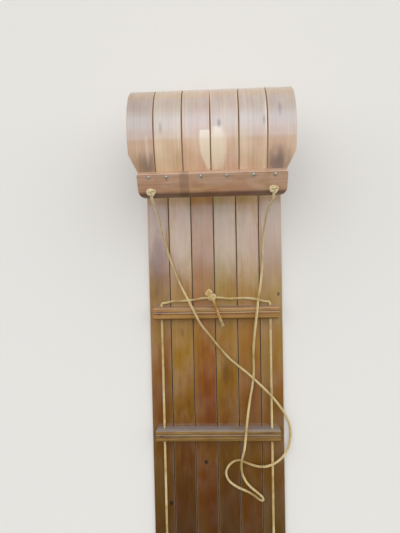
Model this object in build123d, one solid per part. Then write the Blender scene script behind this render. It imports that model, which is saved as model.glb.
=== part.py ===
"""A six-slat wooden toboggan with a steam-bent curl, lying flat on its running surface.

X runs forward towards the curl, Y to the left of travel and Z up. The origin is on the
floor, midway along the toboggan and midway across its deck. All sizes are millimetres.
"""
import os
from math import cos, pi, radians, sin, sqrt, tan

from build123d import *

# The deck: bent slats side by side, an air gap between neighbours.
LENGTH = 1830
SLAT_THICKNESS = 8
SLAT_GAP = 2.5
SLAT_WIDTHS = [61.5, 64, 64, 64, 64, 65]  # one width per slat, from the left (+Y)
SLAT_EDGE_CHAMFER = 1

# The slats' side view: flat, the rise, the nose bend, the crown and a straight tip.
# Radii are of the running surface, which is the outside of the curl.
RISE_RADIUS = 423
RISE_ANGLE = 37
NOSE_RADIUS = 110
CROWN_RADIUS = 225
CROWN_ANGLE = 27
TIP_RUN = 58
TIP_TAPER_LENGTH = 42  # the outer slats narrow above the headboard, over this length
TIP_TAPER_WIDTH = 19

# The headboard clamps the slats' tips on the outside of the curl.
HEADBOARD_LENGTH = 356
HEADBOARD_HEIGHT = 65
HEADBOARD_THICKNESS = 20
HEADBOARD_OVERHANG = 10  # past the slats' ends
HEADBOARD_NOSE_ROUND = 19
HEADBOARD_LOWER_CORNER = 26
HEADBOARD_UPPER_CORNER = 5
HEADBOARD_EDGE_ROUND = 2

# The crossbars lie across the deck, evenly spaced, each with a groove along its top.
BAR_COUNT = 4
FIRST_BAR_SETBACK = 588  # its centre, behind the front of the curl
LAST_BAR_SETBACK = 147  # its centre, ahead of the tail
BAR_LENGTH = 370
BAR_WIDTH = 38
BAR_HEIGHT = 28
BAR_SHOULDER_ROUND = 8
BAR_END_ROUND = 7
BAR_GROOVE_RADIUS = 4
BAR_GROOVE_DEPTH = 3

# The ropes and the holes they pass through.
ROPE_DIAMETER = 7
ROPE_FLATS = 6  # a rope's section is a polygon of this many sides, with a round rope's area
ROPE_HOLE_CLEARANCE = 1.2
SIDE_ROPE_Y = 160
SIDE_ROPE_HEIGHT = 14  # above the deck
ROPE_HOLE_Y = 146
ROPE_HOLE_RISE = 22  # above the headboard's lower edge
ROPE_TURN_RADIUS = 8
KNOT_RADIUS = 8.5
KNOT_FLATS = 10
KNOT_CHAMFER = 3
KNOT_BALL_LENGTH = 16
TOW_KNOT_LENGTH = 13
TOW_KNOT_FLAT = 6  # the rope leaves the knot's side at this distance from its axis
CENTRE_KNOT_LENGTH = 22

ROPE_RADIUS = ROPE_DIAMETER / 2
ROPE_CORNER_RADIUS = ROPE_RADIUS * sqrt(2 * pi / (ROPE_FLATS * sin(2 * pi / ROPE_FLATS)))
ROPE_HOLE_RADIUS = ROPE_RADIUS + ROPE_HOLE_CLEARANCE / 2
DECK_WIDTH = sum(SLAT_WIDTHS) + SLAT_GAP * (len(SLAT_WIDTHS) - 1)
FRONT_X = LENGTH / 2
TAIL_X = -LENGTH / 2
RISE_START_X = (
    FRONT_X
    - NOSE_RADIUS * (1 - sin(radians(RISE_ANGLE)))
    - RISE_RADIUS * sin(radians(RISE_ANGLE))
)
TIP_HEADING = 180 + CROWN_ANGLE
FIRST_BAR_X = FRONT_X - FIRST_BAR_SETBACK
BAR_SPACING = (FIRST_BAR_X - TAIL_X - LAST_BAR_SETBACK) / (BAR_COUNT - 1)


def bend_chain(above):
    """The slats' side view as tangent lines and arcs, this far above the running surface."""
    flat = Line((TAIL_X, above), (RISE_START_X, above))
    rise = JernArc(flat @ 1, flat % 1, RISE_RADIUS - above, RISE_ANGLE)
    nose = JernArc(rise @ 1, rise % 1, NOSE_RADIUS - above, 180 - RISE_ANGLE)
    crown = JernArc(nose @ 1, nose % 1, CROWN_RADIUS - above, CROWN_ANGLE)
    tip = Line(crown @ 1, crown @ 1 + (crown % 1) * TIP_RUN)
    return [flat, rise, nose, crown, tip]


def tip_plane():
    """The plane on the slats' outer face at their ends: x across, y off the ends, z out."""
    end = bend_chain(0)[-1] @ 1
    outward = (cos(radians(TIP_HEADING - 90)), 0, sin(radians(TIP_HEADING - 90)))
    return Plane(origin=(end.X, 0, end.Y), x_dir=(0, 1, 0), z_dir=outward)


TIP = tip_plane()


def side_view(y):
    """The plane of a side view that stands at this place across the deck."""
    return Plane(origin=(0, y, 0), x_dir=(1, 0, 0), z_dir=(0, -1, 0))


def slat_edges():
    """Left and right edge of each slat, from the left."""
    left = DECK_WIDTH / 2
    edges = []
    for width in SLAT_WIDTHS:
        edges.append((left, left - width))
        left -= width + SLAT_GAP
    return edges


def tow_rope_hole(side):
    """A hole square through the headboard and the slat's tip behind it."""
    along = HEADBOARD_OVERHANG - ROPE_HOLE_RISE
    depth = 4 * (HEADBOARD_THICKNESS + SLAT_THICKNESS)
    return TIP * Pos(side * ROPE_HOLE_Y, along, 0) * Cylinder(ROPE_HOLE_RADIUS, depth)


def tip_taper(side):
    """The wedge that is cut off an outer slat's outer edge, towards its tip."""
    start = -(HEADBOARD_HEIGHT - HEADBOARD_OVERHANG)
    outer = DECK_WIDTH / 2
    inner = outer - TIP_TAPER_WIDTH
    outline = Polyline(
        (side * outer, start - TIP_TAPER_LENGTH),
        (side * (outer + 1), start - TIP_TAPER_LENGTH),
        (side * (outer + 1), 1),
        (side * inner, 1),
        (side * inner, start),
        close=True,
    )
    return TIP * extrude(make_face(outline), amount=4 * SLAT_THICKNESS, both=True)


def slat(left, right):
    """One board of the deck, bent over its whole length, with its long edges eased."""
    outer = bend_chain(0)
    inner = bend_chain(SLAT_THICKNESS)
    ends = [Line(outer[0] @ 0, inner[0] @ 0), Line(outer[-1] @ 1, inner[-1] @ 1)]
    side = side_view(left) * make_face(outer + inner + ends)
    board = extrude(side, amount=left - right, dir=(0, -1, 0))
    across = board.edges().filter_by(Axis.Y)
    long_edges = board.edges() - across
    long_edges = long_edges.filter_by(lambda edge: edge.length > 2 * SLAT_THICKNESS)
    return chamfer(long_edges, SLAT_EDGE_CHAMFER)


def deck_slats():
    """All slats, the outer two with their tapered tips and the tow rope's holes."""
    edges = slat_edges()
    boards = [slat(left, right) for left, right in edges]
    boards[0] = boards[0] - tip_taper(1) - tow_rope_hole(1)
    boards[-1] = boards[-1] - tip_taper(-1) - tow_rope_hole(-1)
    return boards


def headboard():
    """The batten over the tips: a flat face, a rounded lower edge and rounded corners."""
    lower = HEADBOARD_OVERHANG
    upper = HEADBOARD_OVERHANG - HEADBOARD_HEIGHT
    middle = (lower + upper) / 2
    face = Pos(0, middle) * Rectangle(HEADBOARD_LENGTH, HEADBOARD_HEIGHT)
    corners = face.vertices().sort_by(Axis.Y)
    face = fillet(corners[2:], HEADBOARD_LOWER_CORNER)
    face = fillet(face.vertices().sort_by(Axis.Y)[:2], HEADBOARD_UPPER_CORNER)
    board = extrude(face, amount=HEADBOARD_THICKNESS, dir=(0, 0, 1))

    profile = Pos(0, middle) * Rectangle(HEADBOARD_THICKNESS, HEADBOARD_HEIGHT)
    front = profile.vertices().sort_by(Axis.X)[2:].sort_by(Axis.Y)
    profile = fillet(front[1], HEADBOARD_NOSE_ROUND)
    front = profile.vertices().sort_by(Axis.X)[-2:].sort_by(Axis.Y)
    profile = fillet(front[0], HEADBOARD_EDGE_ROUND)
    section = Plane(
        origin=(0, 0, HEADBOARD_THICKNESS / 2), x_dir=(0, 0, 1), z_dir=(-1, 0, 0)
    )
    moulding = extrude(section * profile, amount=HEADBOARD_LENGTH, both=True)
    return TIP * (board & moulding) - tow_rope_hole(1) - tow_rope_hole(-1)


def bar_x(number):
    """Centre of a crossbar along the deck, counted from the curl."""
    return FIRST_BAR_X - number * BAR_SPACING


def crossbar(number):
    """A moulded bar with two rounded shoulders, a groove between them and rope holes."""
    half = BAR_WIDTH / 2
    top = BAR_HEIGHT
    shoulder = BAR_SHOULDER_ROUND
    groove = BAR_GROOVE_RADIUS
    outline = [
        Line((-half, 0), (half, 0)),
        Line((half, 0), (half, top - shoulder)),
        ThreePointArc(
            (half, top - shoulder),
            (half - shoulder * (1 - cos(radians(45))), top - shoulder * (1 - sin(radians(45)))),
            (half - shoulder, top),
        ),
        Line((half - shoulder, top), (groove, top)),
        ThreePointArc((groove, top), (0, top - BAR_GROOVE_DEPTH), (-groove, top)),
        Line((-groove, top), (shoulder - half, top)),
        ThreePointArc(
            (shoulder - half, top),
            (shoulder * (1 - cos(radians(45))) - half, top - shoulder * (1 - sin(radians(45)))),
            (-half, top - shoulder),
        ),
        Line((-half, top - shoulder), (-half, 0)),
    ]
    end = side_view(BAR_LENGTH / 2) * make_face(outline)
    bar = extrude(end, amount=BAR_LENGTH, dir=(0, -1, 0))
    plan = fillet(Rectangle(BAR_WIDTH, BAR_LENGTH).vertices(), BAR_END_ROUND)
    bar = bar & extrude(plan, amount=BAR_HEIGHT, dir=(0, 0, 1))
    for side in (1, -1):
        hole = Cylinder(ROPE_HOLE_RADIUS, 2 * BAR_WIDTH, rotation=(0, 90, 0))
        bar = bar - Pos(0, side * SIDE_ROPE_Y, SIDE_ROPE_HEIGHT) * hole
    return Pos(bar_x(number), 0, SLAT_THICKNESS) * bar


def corner_radii(route, hole_turns):
    """Radius of each corner's arc: 0.45 of the shorter run over the tangent of half the turn."""
    radii = []
    for before, at, after in zip(route, route[1:], route[2:]):
        arriving = Vector(*at) - Vector(*before)
        leaving = Vector(*after) - Vector(*at)
        turn = arriving.get_angle(leaving)
        radius = 0.45 * min(arriving.length, leaving.length) / tan(radians(turn / 2))
        radii.append(ROPE_TURN_RADIUS if at in hole_turns else radius)
    return radii


def rope(name, route, hole_turns=()):
    """A rope along straight runs and tangent arcs, with its figures printed."""
    radii = corner_radii(route, hole_turns)
    path = FilletPolyline(*route, radius=radii)
    start = Plane(origin=path @ 0, z_dir=path % 0)
    section = start * RegularPolygon(ROPE_CORNER_RADIUS, ROPE_FLATS)
    tube = sweep(section, path=path)
    expected = section.area * path.length
    print(
        name,
        "length", round(path.length),
        "volume ratio", round(tube.volume / expected, 4),
        "radii", [round(radius) for radius in radii],
    )
    return tube


def knot_lump(length):
    """A knot's bulk standing on z = 0, with its upper edge drawn in."""
    lump = extrude(RegularPolygon(KNOT_RADIUS, KNOT_FLATS), amount=length, dir=(0, 0, 1))
    return chamfer(lump.faces().sort_by(Axis.Z)[-1].edges(), KNOT_CHAMFER)


def tow_knot(side):
    """A knot on each face of the tip and the rope between them, through the hole."""
    along = HEADBOARD_OVERHANG - ROPE_HOLE_RISE
    lump = knot_lump(TOW_KNOT_LENGTH)
    flat = Pos(0, KNOT_RADIUS + TOW_KNOT_FLAT, 0) * Box(
        2 * KNOT_RADIUS, 2 * KNOT_RADIUS, 4 * TOW_KNOT_LENGTH
    )
    section = RegularPolygon(ROPE_CORNER_RADIUS, ROPE_FLATS)
    shank = extrude(section, amount=HEADBOARD_THICKNESS + SLAT_THICKNESS, dir=(0, 0, 1))
    knot = Pos(0, 0, HEADBOARD_THICKNESS) * (lump - flat)
    knot = knot + Pos(0, 0, -SLAT_THICKNESS) * shank
    knot = knot + Pos(0, 0, -SLAT_THICKNESS) * Rot(180, 0, 0) * lump
    return TIP * Pos(side * ROPE_HOLE_Y, along, 0) * knot


def tow_rope_start(side, run):
    """Where the tow rope leaves a knot, or a point this far on, square to the knot's flat."""
    along = HEADBOARD_OVERHANG - ROPE_HOLE_RISE + TOW_KNOT_FLAT + run
    out = HEADBOARD_THICKNESS + TOW_KNOT_LENGTH / 2
    place = TIP * Pos(side * ROPE_HOLE_Y, along, out)
    return tuple(place.position)


# The tow rope's points between its two knots: down onto the deck, over the first crossbar
# and the side rope, round beyond the right edge, into a loop with a tight fold, and back.
TOW_ROPE_POINTS = [
    (627, 145, 233),
    (619, 145, 200),
    (609, 145, 157),
    (593, 147, 116),
    (569, 148, 78),
    (531, 143, 42),
    (487, 132, 21),
    (443, 118, 13),
    (401, 98, 24),
    (360, 75, 46.5),
    (297, 46, 46.5),
    (262, 21, 25),
    (224, -6, 12.5),
    (187, -37, 13),
    (165, -65, 17),
    (146, -90, 23),
    (117, -121, 24),
    (94, -146, 34),
    (62, -174, 34),
    (19, -201, 21),
    (-24, -217, 5),
    (-62, -217, 5),
    (-93, -203, 19),
    (-113, -179, 34),
    (-131, -144, 34),
    (-138, -111, 17),
    (-128, -81, 12.5),
    (-119, -57, 12.5),
    (-131, -34, 12.5),
    (-157, -19, 12.5),
    (-185, -28, 12.5),
    (-204, -54, 12.5),
    (-217, -86, 12.5),
    (-229, -105, 12.5),
    (-240, -118, 12.5),
    (-243, -127, 15.5),
    (-237, -132, 21),
    (-227, -128, 23),
    (-214, -113, 22.5),
    (-192, -86, 21),
    (-167, -72, 22),
    (-140, -66, 24),
    (-108, -70, 25),
    (-74, -77, 46.5),
    (-3, -84, 46.5),
    (32, -91, 26),
    (70, -98, 12.5),
    (108, -106, 13),
    (150, -110, 12.5),
    (197, -109, 13),
    (250, -111, 24),
    (295, -115, 46.5),
    (360, -123, 46.5),
    (403, -132, 25),
    (447, -139, 13.5),
    (490, -140, 21),
    (534, -138, 42),
    (571, -141, 79),
    (594, -141, 117),
    (609, -141, 157),
    (619, -143, 200),
    (627, -145, 233),
]
TOW_ROPE_LEAD = 13

# The side rope's points ahead of the first crossbar, x measured from that bar's centre: from
# the centre knot to the holes on each side, and the knot's tail over the bar.
CENTRE_KNOT_PLACE = (43, 10, 17.5)
FRONT_TIE_LEFT = [(43, 35, 17.5), (37, 64, 13), (34, 98, 12.5), (34, 131, 17)]
FRONT_TIE_RIGHT = [
    (35, -131, 17),
    (40, -98, 12.5),
    (40, -66, 12.5),
    (38, -38, 13),
    (43, -15, 17.5),
]
KNOT_TAIL_POINTS = [
    (40, 6, 22),
    (34, 4, 36),
    (22, 0, 45),
    (-9, -10, 44),
    (-25, -15, 34),
    (-33, -18, 18),
]
KNOT_BALL_PLACE = (57, 19, 17)
FRONT_TIE_STANDOFF = 11
TAIL_TIE_STANDOFF = 12


def tow_rope():
    """The towing line, slack on the deck, from the left knot to the right one."""
    left = [tow_rope_start(1, 0), tow_rope_start(1, TOW_ROPE_LEAD)]
    right = [tow_rope_start(-1, TOW_ROPE_LEAD), tow_rope_start(-1, 0)]
    return rope("tow rope", left + TOW_ROPE_POINTS + right)


def by_first_bar(points):
    """Points that are measured from the first crossbar's centre, as points of the whole."""
    return [(bar_x(0) + x, y, z) for x, y, z in points]


def side_rope():
    """The grab line: from the knot through every left hole, across and back on the right."""
    height = SLAT_THICKNESS + SIDE_ROPE_HEIGHT
    front = bar_x(0) + BAR_WIDTH / 2 + FRONT_TIE_STANDOFF
    back = bar_x(BAR_COUNT - 1) - BAR_WIDTH / 2 - TAIL_TIE_STANDOFF
    knot_x, knot_y, knot_z = CENTRE_KNOT_PLACE
    reach = CENTRE_KNOT_LENGTH / 2
    left = by_first_bar([(knot_x, knot_y + reach, knot_z)] + FRONT_TIE_LEFT)
    right = by_first_bar(FRONT_TIE_RIGHT + [(knot_x, knot_y - reach, knot_z)])
    hole_turns = [
        (front, SIDE_ROPE_Y, height),
        (back, SIDE_ROPE_Y, height),
        (back, -SIDE_ROPE_Y, height),
        (front, -SIDE_ROPE_Y, height),
    ]
    return rope("side rope", left + hole_turns + right, hole_turns)


def centre_knot():
    """The knot ahead of the first crossbar, with a balled end and a tail over the bar."""
    place, ball_place = by_first_bar([CENTRE_KNOT_PLACE, KNOT_BALL_PLACE])
    half = knot_lump(CENTRE_KNOT_LENGTH / 2)
    body = Pos(*place) * (Rot(90, 0, 0) * half + Rot(-90, 0, 0) * half)
    ball = Pos(*ball_place) * Rot(0, 90, 45) * Pos(0, 0, -KNOT_BALL_LENGTH / 2) * knot_lump(
        KNOT_BALL_LENGTH
    )
    tail = rope("knot tail", by_first_bar(KNOT_TAIL_POINTS))
    return body + ball + tail


def save(name, shape):
    """Write one piece to its own file."""
    shape.label = name
    export_step(shape, f"parts/{name}.step")


os.makedirs("parts", exist_ok=True)
for index, board in enumerate(deck_slats(), 1):
    save(f"slat_{index}", board)
save("headboard", headboard())
for number in range(BAR_COUNT):
    save(f"crossbar_{number + 1}", crossbar(number))
save("side_rope", side_rope())
save("side_rope_knot", centre_knot())
save("tow_rope", tow_rope())
save("tow_knot_left", tow_knot(1))
save("tow_knot_right", tow_knot(-1))
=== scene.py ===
"""A six-slat wooden toboggan with a steam-bent curl, dressed for its picture.

All sizes are metres in the model's frame: X forwards to the curl, Y to the left of travel and
Z up. Whatever can be read from the frame is; the rest are the real object's sizes.
"""

from math import atan2, cos, pi, radians, sin, sqrt, tan

import bmesh
import bpy
from mathutils import Matrix, Vector


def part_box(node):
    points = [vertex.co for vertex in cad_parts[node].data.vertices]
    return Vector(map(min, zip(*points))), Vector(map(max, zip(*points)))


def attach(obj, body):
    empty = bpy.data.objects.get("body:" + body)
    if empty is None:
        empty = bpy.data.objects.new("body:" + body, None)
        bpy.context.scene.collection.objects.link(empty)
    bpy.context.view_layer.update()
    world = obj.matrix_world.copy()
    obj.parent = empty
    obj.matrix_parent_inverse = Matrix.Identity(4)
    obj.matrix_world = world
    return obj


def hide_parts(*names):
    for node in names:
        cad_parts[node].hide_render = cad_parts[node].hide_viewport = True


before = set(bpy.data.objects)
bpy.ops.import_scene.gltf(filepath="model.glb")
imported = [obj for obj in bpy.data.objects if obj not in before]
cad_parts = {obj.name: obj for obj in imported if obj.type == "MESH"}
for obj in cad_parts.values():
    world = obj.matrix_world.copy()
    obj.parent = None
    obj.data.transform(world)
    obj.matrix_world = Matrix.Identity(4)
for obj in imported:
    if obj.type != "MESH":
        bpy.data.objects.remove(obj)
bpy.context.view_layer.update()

# The slats' side view: flat, the rise, the nose bend, the crown and a straight tip.
# Radii are of the running surface, which is the outside of the curl.
RISE_RADIUS = 0.423
RISE_ANGLE = radians(37)
NOSE_RADIUS = 0.110
CROWN_RADIUS = 0.225
CROWN_ANGLE = radians(27)
TIP_RUN = 0.058
TIP_TAPER_LENGTH = 0.042
TIP_TAPER_WIDTH = 0.019
SLAT_THICKNESS = 0.008
SLAT_EDGE_ROUND = 0.0011
SLAT_CUP = 0.0004

# The headboard over the slats' tips, and the crossbars.
HEADBOARD_LENGTH = 0.356
HEADBOARD_HEIGHT = 0.065
HEADBOARD_THICKNESS = 0.020
HEADBOARD_OVERHANG = 0.010
HEADBOARD_NOSE_ROUND = 0.019
HEADBOARD_LOWER_CORNER = 0.026
HEADBOARD_UPPER_CORNER = 0.005
HEADBOARD_EDGE_ROUND = 0.002
BAR_LENGTH = 0.370
BAR_WIDTH = 0.038
BAR_HEIGHT = 0.028
BAR_SHOULDER_ROUND = 0.008
BAR_END_ROUND = 0.007
BAR_GROOVE_HALF = 0.0050
BAR_LINE_PLACE = 0.0036
BAR_GROOVE_DEPTH = 0.0018
BAR_RIDGE_DEPTH = 0.0006
EASED_EDGE = 0.0006
DUST_AND_SKY_LIGHT_FROM = 0.012
BAR_COUNT = 4
SIDE_ROPE_Y = 0.160
SIDE_ROPE_HEIGHT = 0.014
ROPE_HOLE_Y = 0.146
ROPE_HOLE_RISE = 0.022
ROPE_HOLE_RADIUS = 0.0041
HOLE_SIDES = 24
HOLE_CUTTER_LENGTH = 0.05
ROPE_HOLE = [
    (ROPE_HOLE_RADIUS * cos(2 * pi * step / HOLE_SIDES),
     ROPE_HOLE_RADIUS * sin(2 * pi * step / HOLE_SIDES))
    for step in range(HOLE_SIDES)
]

# A three-strand laid rope: its strands wind round the middle once in each lay.
STRAND_RADIUS = 0.00186
STRAND_OFFSET = 0.00190
ROPE_LAY = 0.024
ROPE_STEP = 0.0016

FRONT_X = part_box("slat_3")[1].x
TAIL_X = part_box("slat_3")[0].x
RISE_START_X = FRONT_X - NOSE_RADIUS * (1 - sin(RISE_ANGLE)) - RISE_RADIUS * sin(RISE_ANGLE)

# The running surface from the tail: each stretch's length and curvature.
STRETCHES = [
    (RISE_START_X - TAIL_X, 0),
    (RISE_RADIUS * RISE_ANGLE, 1 / RISE_RADIUS),
    (NOSE_RADIUS * (pi - RISE_ANGLE), 1 / NOSE_RADIUS),
    (CROWN_RADIUS * CROWN_ANGLE, 1 / CROWN_RADIUS),
    (TIP_RUN, 0),
]
BOARD_LENGTH = sum(length for length, curvature in STRETCHES)


def bar_box(number):
    """Lowest and highest corner of a crossbar, counted from the curl."""
    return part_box(f"crossbar_{number + 1}")


BAR_MIDDLES = [sum(corner.x for corner in bar_box(number)) / 2 for number in range(BAR_COUNT)]
FORWARD = Vector((1, 0, 0))
LEFT = Vector((0, 1, 0))
UP = Vector((0, 0, 1))


def turned(x, y, z):
    """The turn that takes the X, Y and Z axes to these."""
    return Matrix((x, y, z)).transposed().to_4x4()


def tip_frame():
    """The frame at the slats' outer ends: x is across, y off the ends and z outward."""
    x, z, heading = TAIL_X, 0.0, 0.0
    for length, curvature in STRETCHES:
        if curvature:
            before, heading = heading, heading + curvature * length
            x += (sin(heading) - sin(before)) / curvature
            z += (cos(before) - cos(heading)) / curvature
        else:
            x += length * cos(heading)
            z += length * sin(heading)
    off = Vector((cos(heading), 0, sin(heading)))
    return Matrix.Translation((x, 0, z)) @ turned(LEFT, off, LEFT.cross(off))


TIP = tip_frame()


# Adding nodes, in materials and in geometry alike.


def add(tree, kind, links=(), **settings):
    """Add a node, set its own settings, fill its sockets and return its first live output.

    The links are values or outputs, either in the order of the sockets or by their names.
    """
    node = tree.nodes.new(kind)
    for name, value in settings.items():
        setattr(node, name, value)
    sockets = links if isinstance(links, dict) else dict(enumerate(links))
    for socket, value in sockets.items():
        if isinstance(value, bpy.types.NodeSocket):
            tree.links.new(value, node.inputs[socket])
        else:
            node.inputs[socket].default_value = value
    return next((output for output in node.outputs if output.enabled), node)


def reckon(tree, known, rows):
    """Work out numbers in turn: each row is a name, an operation and what goes into it."""
    for name, operation, *values in rows:
        known[name] = add(
            tree, "ShaderNodeMath", [known.get(value, value) for value in values],
            operation=operation,
        )


def shape_tree(name, sizes, with_mesh=False):
    """An empty geometry tree with named inputs: returns it and a dictionary of its inputs."""
    tree = bpy.data.node_groups.new(name, "GeometryNodeTree")
    tree.is_modifier = True
    if with_mesh:
        tree.interface.new_socket("Geometry", in_out="INPUT", socket_type="NodeSocketGeometry")
    for label, kind in sizes.items():
        tree.interface.new_socket(label, in_out="INPUT", socket_type=f"NodeSocket{kind}")
    tree.interface.new_socket("Geometry", in_out="OUTPUT", socket_type="NodeSocketGeometry")
    given = tree.nodes.new("NodeGroupInput").outputs
    return tree, {socket.name: socket for socket in given if socket.name}


def finish_tree(tree, shape, material):
    """End a geometry tree: instances realized, smooth faces, and the material set."""
    realized = add(tree, "GeometryNodeRealizeInstances", {0: shape})
    smooth = add(tree, "GeometryNodeSetShadeSmooth", {0: realized})
    finished = add(tree, "GeometryNodeSetMaterial", {0: smooth, 2: material})
    add(tree, "NodeGroupOutput", {0: finished})


def new_object(name, data):
    """A mesh, curve, lamp or camera as an object of the scene, at the origin."""
    made = bpy.data.objects.new(name, data)
    bpy.context.scene.collection.objects.link(made)
    return made


def modified(made, kind, **settings):
    """Give an object a modifier with its settings, and return the modifier."""
    modifier = made.modifiers.new(kind, kind)
    for name, value in settings.items():
        setattr(modifier, name, value)
    return modifier


def settle(made):
    """Turn an object with modifiers into a plain mesh, with its modifiers removed."""
    depsgraph = bpy.context.evaluated_depsgraph_get()
    mesh = bpy.data.meshes.new_from_object(
        made.evaluated_get(depsgraph), preserve_all_data_layers=True, depsgraph=depsgraph
    )
    made.modifiers.clear()
    old = made.data
    made.data = mesh
    mesh.name = made.name
    bpy.data.meshes.remove(old)
    return made


def grown(name, tree, sizes, mesh=None):
    """An object whose shape a geometry tree makes from named sizes, as a plain mesh."""
    made = new_object(name, mesh or bpy.data.meshes.new(name))
    modifier = modified(made, "NODES", node_group=tree)
    for item in tree.interface.items_tree:
        if item.in_out == "INPUT" and item.name in sizes:
            modifier[item.identifier] = sizes[item.name]
    modified(made, "WEIGHTED_NORMAL", keep_sharp=True)
    return settle(made)


def rounded_outline(corners, steps=10):
    """A closed outline through corners, each a place and the radius that rounds it."""
    points = []
    for i, (x, y, radius) in enumerate(corners):
        at = Vector((x, y))
        if not radius:
            points.append(at)
            continue
        before = (Vector(corners[i - 1][:2]) - at).normalized()
        after = (Vector(corners[(i + 1) % len(corners)][:2]) - at).normalized()
        half = before.angle(after) / 2
        middle = at + (before + after).normalized() * radius / sin(half)
        first = at + before * radius / tan(half) - middle
        last = at + after * radius / tan(half) - middle
        turn = atan2(first.cross(last), first.dot(last))
        points += [
            middle + Matrix.Rotation(turn * step / steps, 2) @ first for step in range(steps + 1)
        ]
    return points


def prism(outline, low, high, stand):
    """A closed block: an outline pushed along z from low to high, and then stood in place."""
    mesh = bpy.data.meshes.new("block")
    count = len(outline)
    points = [stand @ Vector((*point, level)) for level in (low, high) for point in outline]
    sides = [(i, (i + 1) % count, count + (i + 1) % count, count + i) for i in range(count)]
    ends = [tuple(range(count)), tuple(range(count, 2 * count))]
    mesh.from_pydata(points, [], sides + ends)
    body = bmesh.new()
    body.from_mesh(mesh)
    bmesh.ops.recalc_face_normals(body, faces=body.faces)
    body.to_mesh(mesh)
    body.free()
    return new_object("block", mesh)


def carved(name, block, changes, stand, material):
    """Cut a block by others, ease its edges and keep each point's place along the grain."""
    block.name = name
    for change, cutter in changes:
        modified(block, "BOOLEAN", operation=change, solver="EXACT", object=cutter)
    modified(block, "BEVEL", width=EASED_EDGE, segments=2, limit_method="ANGLE",
             angle_limit=radians(35))
    settle(block)
    for change, cutter in changes:
        bpy.data.objects.remove(cutter)
    mesh = block.data
    mesh.materials.clear()
    mesh.materials.append(material)
    mesh.shade_smooth()
    modified(block, "WEIGHTED_NORMAL", keep_sharp=True)
    settle(block)
    grain = block.data.attributes.new("grain", "FLOAT_VECTOR", "POINT")
    from_place = stand.inverted()
    places = [tuple(from_place @ vertex.co) for vertex in block.data.vertices]
    grain.data.foreach_set("vector", [value for place_ in places for value in place_])
    return block


def place(made, slot=None, *nodes):
    """Let a finished piece ride on the toboggan and stand for its nodes. The slot is not used."""
    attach(made, "root")
    if nodes:
        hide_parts(*nodes)
    return made


# Colours and finishes.


def colour(code):
    """An sRGB hex colour as the linear colour that the shaders take. Others stay as they are."""
    if not isinstance(code, str):
        return code
    parts = [int(code[i:i + 2], 16) / 255 for i in (1, 3, 5)]
    linear = [c / 12.92 if c <= 0.04045 else ((c + 0.055) / 1.055) ** 2.4 for c in parts]
    return (*linear, 1.0)


def new_finish(name, viewport, constants):
    """A material with its fixed values: returns it, its tree and its shader node."""
    material = bpy.data.materials.new(name)
    material.use_nodes = True
    material.diffuse_color = colour(viewport)
    shader = material.node_tree.nodes["Principled BSDF"]
    for socket, value in constants.items():
        shader.inputs[socket].default_value = value
    return material, material.node_tree, shader


def ramp(tree, factor, stops):
    """A colour ramp over the stops, each a place from 0 to 1 and a hex or linear colour."""
    output = add(tree, "ShaderNodeValToRGB", {0: factor})
    band = output.node.color_ramp
    while len(band.elements) < len(stops):
        band.elements.new(1.0)
    for element, (place_, shade) in zip(band.elements, stops):
        element.position = place_
        element.color = (*colour(shade)[:3], 1.0)
    return output


def figured(tree, known, flow, seed, table):
    """Named noises: each a shift of the seed, its blobs' size along and across, and detail."""
    for name, (shift, along, across, detail) in table.items():
        scaled = add(tree, "ShaderNodeMapping", {
            0: flow,
            "Location": (seed + shift, seed + shift, 0),
            "Scale": (1 / along, 1 / across, 1 / across),
        })
        known[name] = add(tree, "ShaderNodeTexNoise", {0: scaled, "Scale": 1.0, "Detail": detail})


def ranged(tree, known, table):
    """Named masks, each running smoothly from one value to another of what it measures."""
    for name, (measured, *ends) in table.items():
        known[name] = add(tree, "ShaderNodeMapRange", (known.get(measured, measured), *ends),
                          interpolation_type="SMOOTHSTEP")


def layered(tree, known, ground, layers):
    """Lay colours over the ground, from the lowest: each how it blends, its colour and where."""
    for blend, shade, amount in layers:
        ground = add(tree, "ShaderNodeMix", {
            0: known.get(amount, amount), 6: colour(ground), 7: colour(shade),
        }, data_type="RGBA", blend_type=blend)
    return ground


def spots(tree, flow, ragged, table):
    """Knots, smudges and bare patches: a layer for each, on the curl only on its outside."""
    layers = []
    along = add(tree, "ShaderNodeSeparateXYZ", (flow,))
    known = {"ragged": ragged, "along": along, "depth": along.node.outputs["Z"]}
    for kind, (x, y), (long, wide), soft, start, strength in table:
        flat = add(tree, "ShaderNodeMapping", {
            0: flow, "Location": (-x / long, -y / wide, 0), "Scale": (1 / long, 1 / wide, 0),
        })
        reach = add(tree, "ShaderNodeVectorMath", (flat,), operation="LENGTH")
        known["reach"] = reach.node.outputs["Value"]
        reckon(tree, known, [("uneven", "MULTIPLY_ADD", "ragged", RAGGEDNESS * soft, "reach")])
        ranged(tree, known, {
            "inside": ("uneven", 1.0 + soft, 1.0 - soft, 0.0, strength),
            "past": ("along", start - FADE_BEFORE * soft, start + FADE_AFTER * soft, 0.0, 1.0),
        })
        reckon(tree, known, [("amount", "MULTIPLY", "inside", "past")])
        if x > OUTSIDE_SPOTS_FROM:
            ranged(tree, known, {"outside": ("depth", *OUTSIDE_DEPTH, 0.0, 1.0)})
            reckon(tree, known, [("amount", "MULTIPLY", "amount", "outside")])
        blend, shade = SPOT_KINDS[kind]
        layers.append((blend, shade, known["amount"]))
    return layers


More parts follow.
